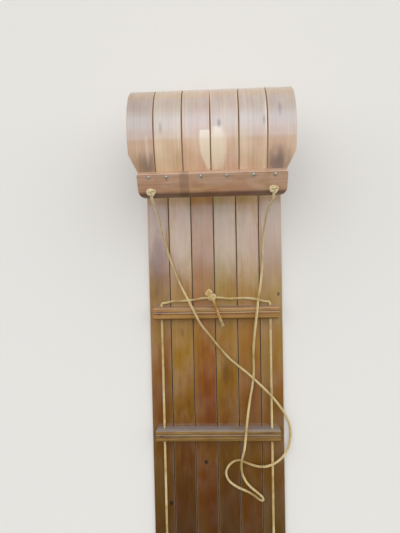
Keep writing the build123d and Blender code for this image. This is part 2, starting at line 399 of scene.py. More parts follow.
def board_finish(name, seed, board):
    """Aged gloss varnish over steam-bent hardwood, one board's own figure and wear.

    The varnish gives the sky's pale sheen, the wood honey on the curl and a golden brown that
    darkens to the tail; the curl's greyer tones and a few pale patches on the bed add painted
    sheen. Long streaks and arched growth rings follow the grain; knots, grime, bare patches and a
    scraped running surface break it, with painted highlights along the eased edges and painted
    shade on the boards' sides.
    """
    material, tree, shader = new_finish(name, "#A08050", {
        "IOR": 1.5, "Coat Roughness": 0.09, "Coat IOR": 1.6,
    })
    flow = add(tree, "ShaderNodeAttribute", attribute_name="grain").node.outputs["Vector"]
    edge = add(tree, "ShaderNodeAttribute", attribute_name="edge").node.outputs["Fac"]
    along = add(tree, "ShaderNodeSeparateXYZ", (flow,))
    known = {"along": along, "edge": edge, "value": 1.0}
    known.update({"across": along.node.outputs["Y"], "depth": along.node.outputs["Z"]})

    # Growth rings cut into long arches, drifting streaks, fine fibres and cloudy varnish.
    ring_place, ring_offset, ring_slope = board["rings"]
    known["arches"] = add(tree, "ShaderNodeTexWave", {
        0: add(tree, "ShaderNodeMapping", {
            0: flow,
            "Location": (-ring_place * ring_slope, -ring_offset, 0),
            "Scale": (ring_slope, 1.0, 1.0),
        }),
        "Scale": 2 * pi / (20 * RING_SPACING),
        "Distortion": 5.0, "Detail": 2.0, "Detail Scale": 0.35, "Detail Roughness": 0.5,
        "Phase Offset": seed,
    }, wave_type="RINGS", rings_direction="SPHERICAL", wave_profile="SAW")
    figured(tree, known, flow, seed, {
        "streaks": (7.3, 0.45, 0.009, 3.0),
        "fibres": (11.7, 0.10, 0.0019, 5.0),
        "clouds": (17.9, 0.09, 0.045, 3.0),
        "patches": (23.0, 0.04, 0.012, 3.0),
        "warmth": (29.3, 0.16, 0.05, 2.0),
        "scratches": (31.0, 0.22, 0.0012, 2.0),
        "swell": (47.0, 0.14, 0.016, 1.0),
    })
    for pattern, strength in BOARD_FIGURE:
        reckon(tree, known, [
            ("centred", "SUBTRACT", pattern, 0.5),
            ("value", "MULTIPLY_ADD", "centred", strength, "value"),
        ])
    reckon(tree, known, [
        ("off middle", "ABSOLUTE", "across"),
        ("ragged", "SUBTRACT", "patches", 0.5),
        ("share", "DIVIDE", "along", BOARD_LENGTH),
    ])

    flat_run = STRETCHES[0][0]
    ranged(tree, known, {
        "curl": ("along", CURL_TONE_START, CURL_TONE_END, 0.0, 1.0),
        "golden": ("warmth", 0.3, 0.7, 0.490, 0.508),
        "rich": ("clouds", 0.3, 0.7, 1.12, 0.95),
        "grime": ("edge", 0.0030, 0.0008, 0.0, 0.25),
        # Where the painted highlight lies along each eased edge.
        "edge highlight": ("edge", 0.0018, 0.0009, 0.0, 0.20),
        "at side": ("edge", 0.0004, 0.0001, 0.0, 1.0),
        "between boards": ("off middle", 0.196, 0.190, 0.0, 1.0),
        "open": ("along", SIDE_TONE_START, CURL_TONE_START, 0.0, 1.0),
        "under": ("depth", 0.003, 0.0005, 0.0, 1.0),
        "flat": ("along", flat_run + 0.30, flat_run - 0.10, 0.0, 1.0),
        "scratched": ("scratches", 0.42, 0.60, 0.25, 0.75),
        "tail end": ("along", 0.0012, 0.0004, 0.0, 0.7),
        "tip end": ("along", BOARD_LENGTH - 0.0012, BOARD_LENGTH - 0.0004, 0.0, 0.7),
        "rough": ("clouds", 0.35, 0.7, 0.34, 0.50),
    })

    # The varnish has gone from the boards' sides and is thin on the scraped running surface.
    reckon(tree, known, [
        ("side", "MULTIPLY", "at side", "between boards"),
        ("running surface", "MULTIPLY", "under", "flat"),
        ("scraped", "MULTIPLY", "running surface", "scratched"),
        ("worn", "MAXIMUM", "side", "running surface"),
        ("gloss", "MULTIPLY_ADD", "worn", -0.9, 1.0),
        ("roughness", "MULTIPLY_ADD", "worn", 0.35, "rough"),
        ("ripple", "MULTIPLY_ADD", "fibres", 0.5, "streaks"),
    ])
    tint = layered(tree, known, board["bed"], [("MIX", board["curl"], "curl")])
    tone = ramp(tree, known["share"], BOARD_TONES)
    wood = add(tree, "ShaderNodeHueSaturation", {
        "Hue": known["golden"], "Saturation": known["rich"], "Value": known["value"],
        "Color": layered(tree, known, tone, [("MULTIPLY", tint, 1.0)]),
    })
    # Painted shade: the sides are as dark as the gaps look, paler from 1 m along and on the curl.
    side = layered(tree, known, "#3A2110", [
        ("MIX", "#B89A78", "open"),
        ("MIX", "#C8AA8C", "curl"),
    ])
    soiled = layered(tree, known, "#8A6848", [("MIX", "#E4D6C8", "curl")])
    wood = layered(tree, known, wood, spots(tree, flow, known["ragged"], board["spots"]) + [
        ("MULTIPLY", soiled, "grime"),
        # Painted highlight: a thin light line along each eased edge.
        ("MIX", "#E6CDA4", "edge highlight"),
        ("MIX", side, "side"),
        ("MIX", "#B9A385", "scraped"),
        ("MIX", "#6A4A2C", "tail end"),
        ("MIX", "#6A4A2C", "tip end"),
    ])
    tree.links.new(wood, shader.inputs["Base Color"])
    tree.links.new(known["gloss"], shader.inputs["Coat Weight"])
    tree.links.new(known["roughness"], shader.inputs["Roughness"])
    reliefs = (("Normal", "ripple", 0.0004), ("Coat Normal", "swell", 0.0006))
    for socket, height, distance in reliefs:
        bump = add(tree, "ShaderNodeBump", {
            "Strength": 0.25, "Distance": distance, "Height": known[height],
        })
        tree.links.new(bump, shader.inputs[socket])
    return material


# Base tones along a board, as a share of its length: dark tail, golden bed, honey curl.
BOARD_TONES = [
    (0.00, "#553A18"),
    (0.263, "#5F431B"),
    (0.325, "#6C4D23"),
    (0.428, "#845E2D"),
    (0.516, "#9F7A43"),
    (0.596, "#A88858"),
    (0.66, "#BC9E78"),
    (0.80, "#B8A184"),
    # These two greyer tones on the curl carry part of the sky's sheen as painted reflection.
    (0.88, "#B3A08A"),
    (0.925, "#BFAD99"),
    (0.95, "#DAC1A8"),
    (1.00, "#D4B798"),
]
BOARD_FIGURE = (("arches", 0.08), ("streaks", 0.34), ("fibres", 0.28), ("clouds", 0.50))
RING_SPACING = 0.0075
SIDE_TONE_START = 1.0
CURL_TONE_START = 1.5
CURL_TONE_END = 1.9

# A spot's border wavers by the raggedness, and a spot with a start fades in around it. Past a
# place along the board, spots show only at the depth of the curl's outside.
RAGGEDNESS = 2.4
FADE_BEFORE = 0.006
FADE_AFTER = 0.016
OUTSIDE_SPOTS_FROM = 2.0
OUTSIDE_DEPTH = (0.0045, 0.0035)

# How each kind of spot is laid over the wood.
SPOT_KINDS = {
    "bare": ("MIX", "#F2E2C6"),
    "pale": ("MIX", "#E4CDB4"),
    "dark": ("MULTIPLY", "#5A3A20"),
    "red": ("MULTIPLY", "#D09468"),
    "golden": ("MULTIPLY", "#F0E0A0"),
    "tan": ("MULTIPLY", "#F0C890"),
    "amber": ("MULTIPLY", "#DCC49C"),
    "smudge": ("MIX", "#86746C"),
}

# Each board's tints on the bed and on the curl, its growth rings' middle (place along, place
# across, slope), and its spots: kind, place, half size, softness, where it starts, strength.
BOARDS = [
    {"bed": "#F4EAE4", "curl": "#EADCD0", "rings": (0.9, 0.120, 0.020), "spots": [
        ("dark", (2.179, 0.154), (0.030, 0.018), 0.8, 0.0, 0.35),
        ("smudge", (2.176, 0.154), (0.034, 0.020), 0.8, 0.0, 0.5),
        ("dark", (0.659, 0.146), (0.007, 0.005), 0.4, 0.0, 0.9),
        ("dark", (1.375, 0.172), (0.090, 0.022), 0.7, 0.0, 0.25),
        ("pale", (2.137, 0.151), (0.024, 0.0045), 0.7, 0.0, 0.6),
        ("red", (1.000, 0.165), (0.160, 0.022), 0.8, 0.0, 0.35),
        ("amber", (1.340, 0.165), (0.110, 0.034), 0.8, 0.0, 0.35),
    ]},
    {"bed": "#FFF6DC", "curl": "#FFF8EC", "rings": (1.5, 0.100, 0.016), "spots": [
        ("dark", (2.086, 0.118), (0.012, 0.003), 0.7, 0.0, 0.35),
        ("dark", (1.180, 0.102), (0.010, 0.004), 0.7, 0.0, 0.3),
        ("golden", (1.250, 0.100), (0.120, 0.026), 0.8, 0.0, 0.6),
        # Painted sheen: a pale patch where the bed mirrors the sky.
        ("pale", (1.480, 0.100), (0.110, 0.034), 0.8, 0.0, 0.32),
        ("amber", (0.420, 0.100), (0.480, 0.050), 0.5, 0.0, 0.9),
        ("golden", (0.420, 0.100), (0.480, 0.050), 0.5, 0.0, 1.0),
    ]},
    {"bed": "#FCE4C0", "curl": "#FFF2EA", "rings": (0.5, 0.025, 0.014), "spots": [
        ("bare", (2.118, 0.001), (0.068, 0.026), 0.10, 2.095, 0.75),
        ("dark", (0.786, 0.038), (0.006, 0.005), 0.4, 0.0, 0.9),
        ("red", (0.980, 0.030), (0.180, 0.026), 0.8, 0.0, 0.45),
        ("golden", (1.060, 0.030), (0.200, 0.030), 0.8, 0.0, 0.35),
        ("red", (0.640, 0.020), (0.100, 0.020), 0.8, 0.0, 0.3),
        ("amber", (1.320, 0.030), (0.110, 0.034), 0.8, 0.0, 0.35),
        ("amber", (0.420, 0.030), (0.480, 0.050), 0.5, 0.0, 0.3),
    ]},
    {"bed": "#FCFCDC", "curl": "#FFF4EC", "rings": (1.2, -0.060, 0.022), "spots": [
        ("bare", (2.134, -0.014), (0.056, 0.019), 0.35, 2.086, 0.7),
        ("dark", (2.081, -0.019), (0.008, 0.004), 0.7, 0.0, 0.5),
        ("dark", (1.062, -0.030), (0.030, 0.012), 0.8, 0.0, 0.3),
        ("golden", (1.150, -0.030), (0.220, 0.026), 0.8, 0.0, 0.7),
        # Painted sheen: a pale patch where the bed mirrors the sky.
        ("pale", (1.490, -0.030), (0.100, 0.034), 0.8, 0.0, 0.28),
        ("amber", (0.420, -0.030), (0.480, 0.050), 0.5, 0.0, 0.75),
        ("golden", (0.420, -0.030), (0.480, 0.050), 0.5, 0.0, 0.85),
    ]},
    {"bed": "#FFF0D0", "curl": "#FFF8F0", "rings": (0.8, -0.110, 0.018), "spots": [
        ("dark", (2.076, -0.123), (0.009, 0.003), 0.7, 0.0, 0.45),
        ("dark", (1.020, -0.110), (0.020, 0.008), 0.8, 0.0, 0.3),
        # Painted highlight: a thin light line beside the gap.
        ("pale", (2.095, -0.1285), (0.055, 0.0022), 0.7, 0.0, 0.6),
        ("golden", (1.060, -0.100), (0.200, 0.030), 0.8, 0.0, 0.6),
        # Painted sheen: a pale patch where the bed mirrors the sky.
        ("pale", (1.470, -0.100), (0.120, 0.034), 0.8, 0.0, 0.25),
        ("amber", (0.420, -0.100), (0.480, 0.050), 0.5, 0.0, 0.3),
        ("golden", (0.420, -0.100), (0.480, 0.050), 0.5, 0.0, 0.4),
    ]},
    {"bed": "#FFFCFA", "curl": "#F6ECE4", "rings": (1.7, -0.150, 0.015), "spots": [
        ("dark", (2.048, -0.160), (0.016, 0.004), 0.7, 0.0, 0.35),
        ("smudge", (2.180, -0.156), (0.036, 0.022), 0.8, 0.0, 0.9),
        ("dark", (1.292, -0.186), (0.006, 0.004), 0.5, 0.0, 0.8),
    ]},
]


def bar_finish(name, seed, tones, table, lines, dust_and_sky_light):
    """Varnished hardwood moulding gone dull; dust and painted sky light grey the side that stood
    up.

    The lines are painted shade in the hollows and on the faces turned from the light: each a
    place across the bar, a half width, a strength and the height that it shows above.
    """
    material, tree, shader = new_finish(name, "#9A7A50", {
        "IOR": 1.5, "Coat Weight": 0.6, "Coat Roughness": 0.2, "Coat IOR": 1.5,
    })
    flow = add(tree, "ShaderNodeAttribute", attribute_name="grain").node.outputs["Vector"]
    along = add(tree, "ShaderNodeSeparateXYZ", (flow,))
    normal = add(tree, "ShaderNodeNewGeometry").node.outputs["Normal"]
    known = {
        "across": along.node.outputs["Y"], "height": along.node.outputs["Z"],
        "facing": add(tree, "ShaderNodeSeparateXYZ", (normal,)),
    }
    figured(tree, known, flow, seed, {
        "streaks": (0.0, 0.25, 0.004, 4.0),
        "fibres": (5.0, 0.05, 0.0014, 4.0),
        "clouds": (9.0, 0.07, 0.04, 3.0),
    })
    ranged(tree, known, {
        "fine": ("fibres", 0.52, 0.30, 0.0, 0.3),
        "reddish": ("clouds", 0.52, 0.68, 0.0, 0.4),
        "olive": ("clouds", 0.46, 0.32, 0.0, 0.4),
        "turned up": ("facing", 0.45, 0.95, 0.0, 1.0),
        "forward": ("across", DUST_AND_SKY_LIGHT_FROM, DUST_AND_SKY_LIGHT_FROM + 0.003, 0.0, 1.0),
        "patchy dust and sky light": ("clouds", 0.25, 0.6, 0.65 * dust_and_sky_light, dust_and_sky_light),
        "rough": ("fibres", 0.3, 0.7, 0.42, 0.56),
    })
    reckon(tree, known, [
        ("ragged", "SUBTRACT", "clouds", 0.5),
        ("dust and sky light", "MULTIPLY", "turned up", "forward"),
        ("dust and sky light", "MULTIPLY", "dust and sky light", "patchy dust and sky light"),
    ])
    layers = [
        ("MULTIPLY", "#9A7450", "fine"),
        ("MULTIPLY", "#E0B494", "reddish"),
        ("MULTIPLY", "#E0D29C", "olive"),
    ]
    # Each line is painted shade laid over the wood.
    for middle, half_width, strength, above in lines:
        reckon(tree, known, [
            ("beside", "SUBTRACT", "across", middle),
            ("off", "ABSOLUTE", "beside"),
        ])
        ranged(tree, known, {
            "within": ("off", half_width, 0.6 * half_width, 0.0, strength),
            "above": ("height", above, above + 0.001, 0.0, 1.0),
        })
        reckon(tree, known, [("line", "MULTIPLY", "within", "above")])
        layers.append(("MULTIPLY", "#6A4426", known["line"]))
    # Dust and painted sky light grey the side of the bar that stood up towards the curl.
    layers += spots(tree, flow, known["ragged"], table) + [("MIX", "#857A74", "dust and sky light")]
    wood = layered(tree, known, ramp(tree, known["streaks"], tones), layers)
    tree.links.new(wood, shader.inputs["Base Color"])
    tree.links.new(known["rough"], shader.inputs["Roughness"])
    bump = add(tree, "ShaderNodeBump", {
        "Strength": 0.3, "Distance": 0.0004, "Height": known["streaks"],
    })
    tree.links.new(bump, shader.inputs["Normal"])
    return material


def rope_finish():
    """Straw-coloured laid rope, weathered: grimy matt yarns, with painted shade between the
    strands.
    """
    material, tree, shader = new_finish("weathered_straw_rope", "#C8B080", {
        "Roughness": 0.82, "Specular IOR Level": 0.3,
    })
    lay = add(tree, "ShaderNodeAttribute", attribute_name="lay").node.outputs["Vector"]
    place_ = add(tree, "ShaderNodeTexCoord").node.outputs["Object"]
    crown = add(tree, "ShaderNodeAttribute", attribute_name="crown").node.outputs["Fac"]
    known = {"crown": crown, "forward": add(tree, "ShaderNodeSeparateXYZ", (place_,))}
    yarns = add(tree, "ShaderNodeTexNoise", {
        0: add(tree, "ShaderNodeMapping", {0: lay, "Scale": (60, 1800, 1800)}),
        "Scale": 1.0, "Detail": 2.0,
    })
    grime = add(tree, "ShaderNodeTexNoise", {0: place_, "Scale": 22.0, "Detail": 3.0})
    straw = ramp(tree, yarns, [(0.3, "#B8A67C"), (0.5, "#D6C8A0"), (0.7, "#EADFC0")])
    aged = ramp(tree, grime, [(0.35, "#D8C49C"), (0.5, "#F6EAD0"), (0.65, "#FFFCF0")])
    ranged(tree, known, {
        "hollow": ("crown", 0.15, 0.75, 0.6, 0.0),
        # Painted light: the rope is paler towards the curl, lifting the shade that the curl
        # casts.
        "painted light near curl": ("forward", 0.36, 0.60, 0.0, 0.55),
    })
    straw = layered(tree, known, straw, [
        ("MULTIPLY", aged, 1.0),
        # Painted shade in the hollows between the strands.
        ("MULTIPLY", "#8A7654", "hollow"),
        ("MIX", "#EADBB6", "painted light near curl"),
    ] + spots(tree, place_, yarns, ROPE_SPOTS))
    tree.links.new(straw, shader.inputs["Base Color"])
    bump = add(tree, "ShaderNodeBump", {"Strength": 0.5, "Distance": 0.0003, "Height": yarns})
    tree.links.new(bump, shader.inputs["Normal"])
    return material


def steel_finish():
    """Zinc-plated steel screw heads, dulled: soft grey metal with faint stains."""
    material, tree, shader = new_finish("dulled_zinc_steel", "#B0B0A8", {"Metallic": 1.0})
    place_ = add(tree, "ShaderNodeTexCoord").node.outputs["Object"]
    stain = add(tree, "ShaderNodeTexNoise", {0: place_, "Scale": 450.0, "Detail": 3.0})
    tint = ramp(tree, stain, [(0.3, "#A09880"), (0.5, "#CCC6B4"), (0.7, "#E0DCCC")])
    tree.links.new(tint, shader.inputs["Base Color"])
    rough = add(tree, "ShaderNodeMapRange", {
        "Value": stain, "From Min": 0.3, "From Max": 0.7, "To Min": 0.5, "To Max": 0.36,
    })
    tree.links.new(rough, shader.inputs["Roughness"])
    return material


ROPE_SPOTS = [
    ("tan", (0.335, -0.002), (0.050, 0.026), 0.3, -1.0, 0.7),
    ("tan", (0.386, 0.019), (0.009, 0.009), 0.3, -1.0, 0.8),
]
ROPE = rope_finish()
STEEL = steel_finish()


# The boards of the deck. A board's wide faces are told by the gap between their corners.

WIDE_FACE = 0.02
POINTS_ACROSS = 7
BOARD_STEP = 0.007
BOARD_UNEVENNESS = 0.0006
WAVES_PER_METRE = 5.0


def bent_board_tree():
    """A straight board with eased edges and a rope hole, bent over its whole length."""
    tree, given = shape_tree("bent board", {
        "Length": "Float", "Width": "Float", "Thickness": "Float", "Edge Round": "Float",
        "Centre": "Float", "Cup": "Float", "Taper Depth": "Float", "Cut Side": "Float",
        "Step": "Float", "Unevenness": "Float", "Seed": "Float", "Material": "Material",
        "Hole Place": "Vector", "Hole Radius": "Float", "Hole Stretch": "Float",
    })
    outline = add(tree, "GeometryNodeCurvePrimitiveQuadrilateral", {
        "Width": given["Width"], "Height": given["Thickness"],
    })
    eased = add(tree, "GeometryNodeFilletCurve", {
        0: outline, "Count": 3, "Radius": given["Edge Round"],
    }, mode="POLY")

    # The two wide faces get more points across, for the board's cupping.
    corner = add(tree, "GeometryNodeInputPosition")
    known = {**given, "index": add(tree, "GeometryNodeInputIndex")}
    reckon(tree, known, [("next", "ADD", "index", 1.0)])
    next_corner = add(tree, "GeometryNodeFieldAtIndex", {
        "Value": corner, "Index": known["next"],
    }, data_type="FLOAT_VECTOR")
    gap = add(tree, "ShaderNodeVectorMath", (corner, next_corner), operation="DISTANCE")
    known["gap"] = gap.node.outputs["Value"]
    reckon(tree, known, [
        ("wide", "GREATER_THAN", "gap", WIDE_FACE),
        ("cuts", "MULTIPLY", "wide", POINTS_ACROSS),
    ])
    profile = add(tree, "GeometryNodeSubdivideCurve", {0: eased, "Cuts": known["cuts"]})
    line = add(tree, "GeometryNodeCurvePrimitiveLine", {
        "End": add(tree, "ShaderNodeCombineXYZ", {"X": given["Length"]}),
    })
    stations = add(tree, "GeometryNodeResampleCurve", {
        0: line, "Length": given["Step"],
    }, mode="LENGTH")
    board = add(tree, "GeometryNodeCurveToMesh", {0: stations, 1: profile, "Fill Caps": True})
    hole = add(tree, "GeometryNodeMeshCylinder", {
        "Vertices": HOLE_SIDES, "Radius": given["Hole Radius"],
        "Depth": HOLE_CUTTER_LENGTH,
    })
    hole = add(tree, "GeometryNodeTransform", {
        0: hole, "Translation": given["Hole Place"],
        "Scale": add(tree, "ShaderNodeCombineXYZ", (1.0, given["Hole Stretch"], 1.0)),
    })
    board = add(tree, "GeometryNodeMeshBoolean", {0: board, 1: hole},
                operation="DIFFERENCE", solver="EXACT")

    # The tip's taper squeezes the board towards its inner edge.
    straight = add(tree, "ShaderNodeSeparateXYZ", (add(tree, "GeometryNodeInputPosition"),))
    known.update({
        "along": straight, "local": straight.node.outputs["Y"], "z": straight.node.outputs["Z"],
    })
    taper_start = BOARD_LENGTH - (HEADBOARD_HEIGHT - HEADBOARD_OVERHANG) - TIP_TAPER_LENGTH
    known["taper"] = add(tree, "ShaderNodeMapRange", (
        known["along"], taper_start, taper_start + TIP_TAPER_LENGTH, 0.0, 1.0,
    ))
    reckon(tree, known, [
        ("half thickness", "MULTIPLY", "Thickness", 0.5),
        ("height", "ADD", "z", "half thickness"),
        ("half", "MULTIPLY", "Width", 0.5),
        ("off centre", "ABSOLUTE", "local"),
        ("edge", "SUBTRACT", "half", "off centre"),
        ("cut away", "DIVIDE", "Taper Depth", "Width"),
        ("cut here", "MULTIPLY", "cut away", "taper"),
        ("narrowed", "SUBTRACT", 1.0, "cut here"),
        ("from inner edge", "MULTIPLY_ADD", "local", "Cut Side", "half"),
        ("squeezed", "MULTIPLY", "from inner edge", "narrowed"),
        ("recentred", "SUBTRACT", "squeezed", "half"),
        ("across", "MULTIPLY_ADD", "recentred", "Cut Side", "Centre"),
    ])

    # A board cups a little and is never quite straight.
    reckon(tree, known, [
        ("drift", "MULTIPLY_ADD", "along", WAVES_PER_METRE, "Seed"),
        ("share", "DIVIDE", "local", "half"),
        ("rounded", "POWER", "share", 2.0),
        ("hollow", "SUBTRACT", 1.0, "rounded"),
        ("cupped", "MULTIPLY_ADD", "hollow", "Cup", "height"),
    ])
    known["bow"] = add(tree, "ShaderNodeTexNoise", {
        "W": known["drift"], "Scale": 1.0, "Detail": 1.0,
    }, noise_dimensions="1D")
    reckon(tree, known, [("lift", "MULTIPLY_ADD", "bow", "Unevenness", "cupped")])

    grain = add(tree, "ShaderNodeCombineXYZ", (known["along"], known["across"], known["height"]))
    marks = (("grain", grain, "FLOAT_VECTOR"), ("edge", known["edge"], "FLOAT"))
    for name, value, kind in marks:
        board = add(tree, "GeometryNodeStoreNamedAttribute", {
            0: board, "Name": name, "Value": value,
        }, data_type=kind, domain="POINT")

    # The running surface's line, one stretch after another, and the board's turn on it.
    known.update({"x": TAIL_X, "line z": 0.0, "turned": 0.0})
    start, heading = 0.0, 0.0
    for length, curvature in STRETCHES:
        reckon(tree, known, [
            ("past", "SUBTRACT", "along", start),
            ("begun", "MAXIMUM", "past", 0.0),
            ("run", "MINIMUM", "begun", length),
        ])
        if curvature:
            reckon(tree, known, [
                ("turn", "MULTIPLY", "run", curvature),
                ("angle", "ADD", "turn", heading),
                ("sine", "SINE", "angle"),
                ("cosine", "COSINE", "angle"),
                ("forward", "SUBTRACT", "sine", sin(heading)),
                ("up", "SUBTRACT", cos(heading), "cosine"),
                ("x", "MULTIPLY_ADD", "forward", 1 / curvature, "x"),
                ("line z", "MULTIPLY_ADD", "up", 1 / curvature, "line z"),
                ("turned", "ADD", "turned", "turn"),
            ])
            heading += curvature * length
        else:
            reckon(tree, known, [
                ("x", "MULTIPLY_ADD", "run", cos(heading), "x"),
                ("line z", "MULTIPLY_ADD", "run", sin(heading), "line z"),
            ])
        start += length
    reckon(tree, known, [
        ("sine", "SINE", "turned"),
        ("cosine", "COSINE", "turned"),
        ("back", "MULTIPLY", "lift", "sine"),
        ("x", "SUBTRACT", "x", "back"),
        ("line z", "MULTIPLY_ADD", "lift", "cosine", "line z"),
    ])
    bent = add(tree, "ShaderNodeCombineXYZ", (known["x"], known["across"], known["line z"]))
    board = add(tree, "GeometryNodeSetPosition", {0: board, "Position": bent})
    finish_tree(tree, board, given["Material"])
    return tree


def rope_hole(side, width, centre):
    """The tow rope's hole in an outer board, as it is before the taper: place and stretch."""
    kept = 1 - TIP_TAPER_WIDTH / width
    from_inner_edge = side * (side * ROPE_HOLE_Y - centre) + width / 2
    along = BOARD_LENGTH + HEADBOARD_OVERHANG - ROPE_HOLE_RISE
    return (along, side * (from_inner_edge / kept - width / 2), 0.0), 1 / kept


def deck():
    """All boards of the deck, each with its own figure."""
    tree = bent_board_tree()
    last = len(BOARDS)
    for number, details in enumerate(BOARDS, 1):
        low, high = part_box(f"slat_{number}")
        width, centre = high.y - low.y, (high.y + low.y) / 2
        side = {1: 1.0, last: -1.0}.get(number)
        hole, stretch = rope_hole(side, width, centre) if side else ((-1.0, 0.0, 0.0), 1.0)
        finish = board_finish(f"aged_varnished_hardwood_{number}", 10.0 * number, details)
        board = grown(f"board_{number}", tree, {
            "Length": BOARD_LENGTH,
            "Width": width,
            "Thickness": SLAT_THICKNESS,
            "Edge Round": SLAT_EDGE_ROUND,
            "Centre": centre,
            "Cup": SLAT_CUP,
            "Taper Depth": TIP_TAPER_WIDTH if side else 0.0,
            "Cut Side": side or 1.0,
            "Hole Place": hole,
            "Hole Radius": ROPE_HOLE_RADIUS,
            "Hole Stretch": stretch,
            "Step": BOARD_STEP,
            "Unevenness": BOARD_UNEVENNESS,
            "Seed": 3.7 * number,
            "Material": finish,
        })
        place(board, "deck_wood", f"slat_{number}")


deck()


# The headboard, the crossbars and their screws.

HEADBOARD_TONES = [(0.2, "#B49074"), (0.5, "#C29E82"), (0.8, "#CEAC8E")]
# Painted shade: a darker band over the headboard's rounded nose, which faces away from the light.
HEADBOARD_LINES = [(0.010, 0.0235, 0.72, -0.01)]
HEADBOARD_SPOTS = [
    ("dark", (0.066, -0.025), (0.012, 0.060), 0.3, -1.0, 0.30),
    ("golden", (0.010, -0.012), (0.090, 0.014), 0.8, -1.0, 0.5),
    ("red", (0.165, -0.020), (0.040, 0.030), 0.8, -1.0, 0.1),
]
BAR_TONES = [
    [(0.28, "#825B2A"), (0.5, "#A67836"), (0.72, "#BA904A")],
    [(0.28, "#6A4B22"), (0.5, "#89662C"), (0.72, "#9E7C3A")],
    [(0.28, "#5A4024"), (0.5, "#785A34"), (0.72, "#8A6C42")],
    [(0.28, "#553C22"), (0.5, "#705430"), (0.72, "#82653E")],
]
# Painted shade: a dark line at each side of a bar's groove, and one on the shoulder towards the
# tail.
BAR_LINES = [
    (BAR_LINE_PLACE, 0.0022, 0.35, 0.024),
    (-BAR_LINE_PLACE, 0.0022, 0.35, 0.024),
    (-0.018, 0.003, 0.5, -0.01),
]
FIRST_BAR_DUST_AND_SKY_LIGHT = 0.2
BAR_DUST_AND_SKY_LIGHT = 0.92
BAR_SPOTS = [
    ("dark", (-0.150, 0.010), (0.016, 0.0016), 0.6, -1.0, 0.6),
    ("dark", (0.060, 0.009), (0.022, 0.0014), 0.6, -1.0, 0.4),
    ("dark", (0.166, -0.001), (0.008, 0.003), 0.6, -1.0, 0.6),
    ("golden", (0.165, 0.010), (0.030, 0.014), 0.8, -1.0, 0.6),
]
SCREW_HEAD_RADIUS = 0.0044
SCREW_HEAD_HEIGHT = 0.0028
SCREW_PLACES = (0.150, 0.108, 0.026, -0.035, -0.098, -0.149)
SCREW_LINE = -0.047
DECK_SCREW_RADIUS = 0.0042
DECK_SCREW_HEIGHT = 0.0004
DECK_SCREW_ASIDE = 0.008
SCREW_SLOT_WIDTH = 0.0010


def headboard():
    """The batten over the slats' tips: flat, with a rounded nose and rounded ends."""
    half = HEADBOARD_LENGTH / 2
    lower = HEADBOARD_OVERHANG
    upper = HEADBOARD_OVERHANG - HEADBOARD_HEIGHT
    thick = HEADBOARD_THICKNESS
    face = prism(rounded_outline([
        (-half, upper, HEADBOARD_UPPER_CORNER), (half, upper, HEADBOARD_UPPER_CORNER),
        (half, lower, HEADBOARD_LOWER_CORNER), (-half, lower, HEADBOARD_LOWER_CORNER),
    ]), 0, thick, TIP)
    moulding = prism(rounded_outline([
        (upper, 0, 0), (lower, 0, 0),
        (lower, thick, HEADBOARD_NOSE_ROUND), (upper, thick, HEADBOARD_EDGE_ROUND),
    ]), -HEADBOARD_LENGTH, HEADBOARD_LENGTH, TIP @ turned(LEFT, UP, FORWARD))
    changes = [("INTERSECT", moulding)]
    for side in (1, -1):
        place_ = Matrix.Translation((side * ROPE_HOLE_Y, lower - ROPE_HOLE_RISE, 0))
        changes.append(("DIFFERENCE", prism(ROPE_HOLE, -thick, 2 * thick, TIP @ place_)))
    finish = bar_finish("varnished_hardwood_headboard", 2.0, HEADBOARD_TONES, HEADBOARD_SPOTS,
                        HEADBOARD_LINES, 0.0)
    place(carved("headboard_batten", face, changes, TIP, finish), "bar_wood", "headboard")


def bar_outline():
    """Side view of a crossbar: two round shoulders and a hollow between two sharp lines."""
    half = BAR_WIDTH / 2
    top = BAR_HEIGHT
    corners = [
        (-half, 0, 0), (half, 0, 0), (half, top, BAR_SHOULDER_ROUND),
        (BAR_GROOVE_HALF, top, 0.0006), (BAR_LINE_PLACE, top - BAR_GROOVE_DEPTH, 0.0003),
        (0, top - BAR_RIDGE_DEPTH, 0.004), (-BAR_LINE_PLACE, top - BAR_GROOVE_DEPTH, 0.0003),
        (-BAR_GROOVE_HALF, top, 0.0006), (-half, top, BAR_SHOULDER_ROUND),
    ]
    return rounded_outline(corners, 8)


def crossbars():
    """The bars across the deck, each with rounded ends and holes for the side rope."""
    half_width, half_length = BAR_WIDTH / 2, BAR_LENGTH / 2
    corners = ((-1, -1), (1, -1), (1, 1), (-1, 1))
    plan = rounded_outline([(x * half_width, y * half_length, BAR_END_ROUND) for x, y in corners])
    for number, (middle, tones) in enumerate(zip(BAR_MIDDLES, BAR_TONES)):
        stand = Matrix.Translation((middle, 0, SLAT_THICKNESS))
        across = stand @ turned(FORWARD, UP, -LEFT)
        bar = prism(bar_outline(), -half_length, half_length, across)
        changes = [("INTERSECT", prism(plan, -BAR_HEIGHT, 2 * BAR_HEIGHT, stand))]
        for side in (1, -1):
            hole = stand @ Matrix.Translation((0, side * SIDE_ROPE_Y, SIDE_ROPE_HEIGHT))
            through = hole @ turned(LEFT, UP, FORWARD)
            changes.append(("DIFFERENCE", prism(ROPE_HOLE, -BAR_WIDTH, BAR_WIDTH, through)))
        finish = bar_finish(f"varnished_hardwood_crossbar_{number + 1}", 3.0 + 7.0 * number,
                            tones, BAR_SPOTS, BAR_LINES, BAR_DUST_AND_SKY_LIGHT if number else FIRST_BAR_DUST_AND_SKY_LIGHT)
        grain = stand @ turned(LEFT, FORWARD, UP)
        bar = carved(f"moulded_crossbar_{number + 1}", bar, changes, grain, finish)
        place(bar, "bar_wood", f"crossbar_{number + 1}")


